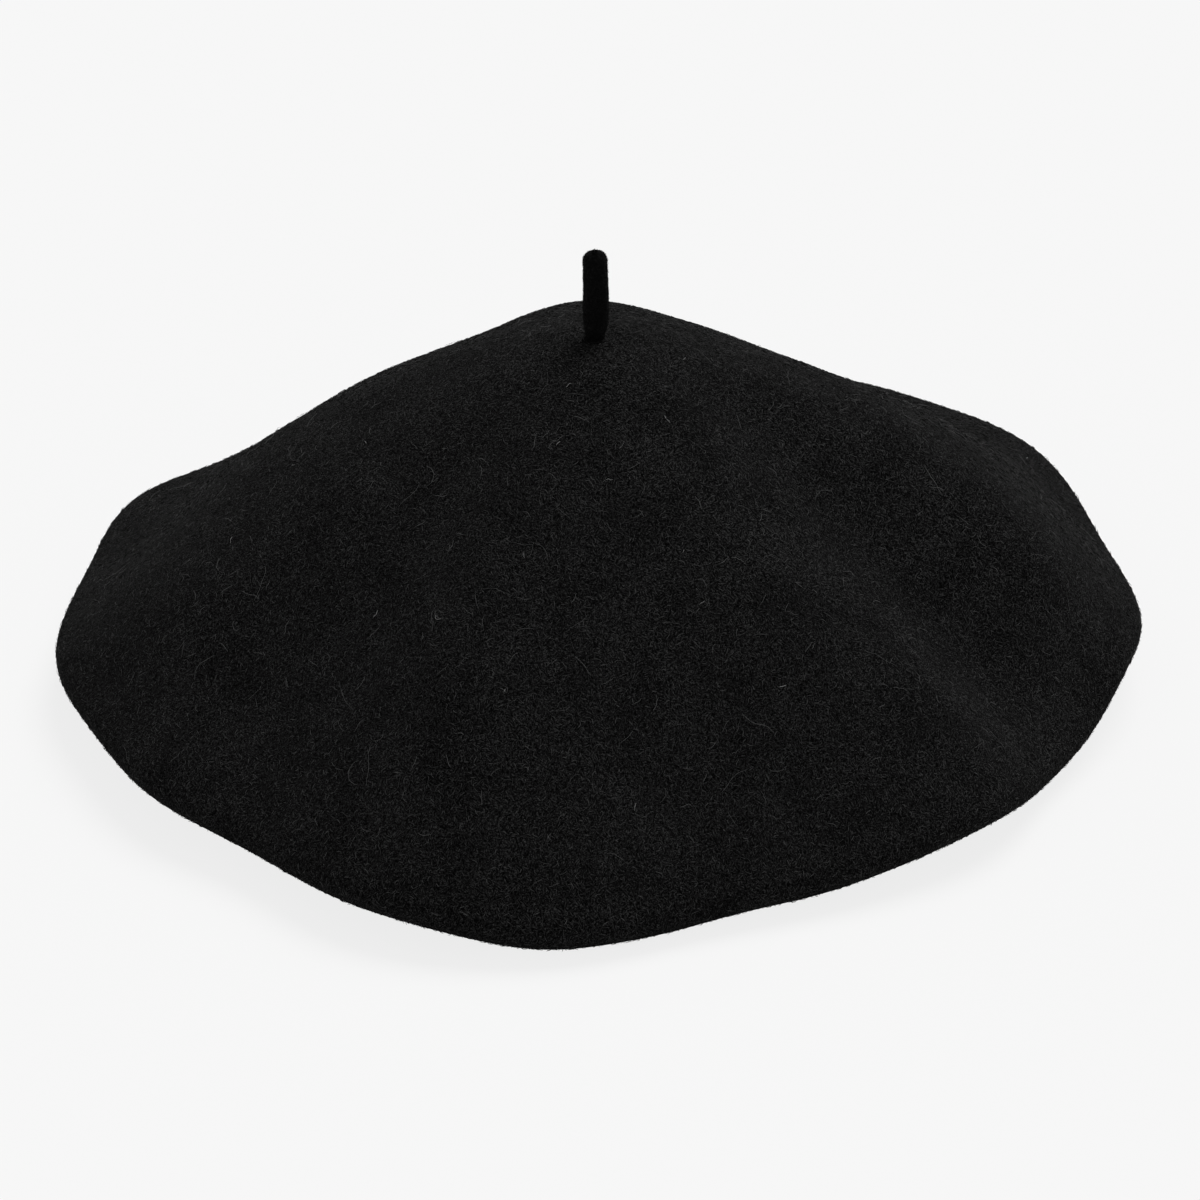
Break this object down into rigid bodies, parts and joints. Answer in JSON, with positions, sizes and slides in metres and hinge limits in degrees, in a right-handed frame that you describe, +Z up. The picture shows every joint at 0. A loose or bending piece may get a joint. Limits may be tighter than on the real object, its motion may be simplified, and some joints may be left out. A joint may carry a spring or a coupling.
{
  "type": "beret",
  "caption": "Soft round wool felt beret with a rolled rim, a felted stem, a leather sweatband and a satin lining, standing on its head opening.",
  "frame": {"origin": "on the surface that the hat stands on, below the stem, at the middle of the hat's box", "axes": "+Z up, -Y the front of the hat, +Y the back, where the sweatband is joined under its bow"},
  "size_m": [0.2404, 0.2365, 0.1057],
  "materials": {
    "wool_felt": "fulled black wool, short matt nap",
    "band_leather": "thin black grain leather, soft sheen",
    "twill_tape": "woven cotton tape",
    "sewing_thread": "polyester thread",
    "lining_satin": "black satin",
    "bow_ribbon": "black satin ribbon",
    "label_cloth": "off-white woven label, blank"
  },
  "bodies": {
    "hat": {"felt_body": "wool_felt", "stem_root": "wool_felt", "sweatband": "band_leather", "stay_tape": "twill_tape", "sweatband_stitching": "sewing_thread", "lining_tip": "lining_satin", "lining_side": "lining_satin", "lining_piping": "lining_satin", "lining_label": "label_cloth", "bow_loops": "bow_ribbon", "bow_knot": "bow_ribbon", "bow_tails": "bow_ribbon", "care_label_hem": "label_cloth"},
    "stem_top": {"stem": "wool_felt"},
    "care_tab": {"care_label": "label_cloth"}
  },
  "joints": [
    {"name": "stem_bend", "type": "hinge", "parent": "hat", "child": "stem_top", "pos_m": [0, 0, 0.0879], "axis": [0, 1, 0], "range_deg": [-40, 40], "stiffness_Nm_per_rad": 0.002},
    {"name": "care_label_flip", "type": "hinge", "parent": "hat", "child": "care_tab", "pos_m": [-0.08645, 0, 0.01625], "axis": [0, -1, 0], "range_deg": [0, 110]}
  ]
}
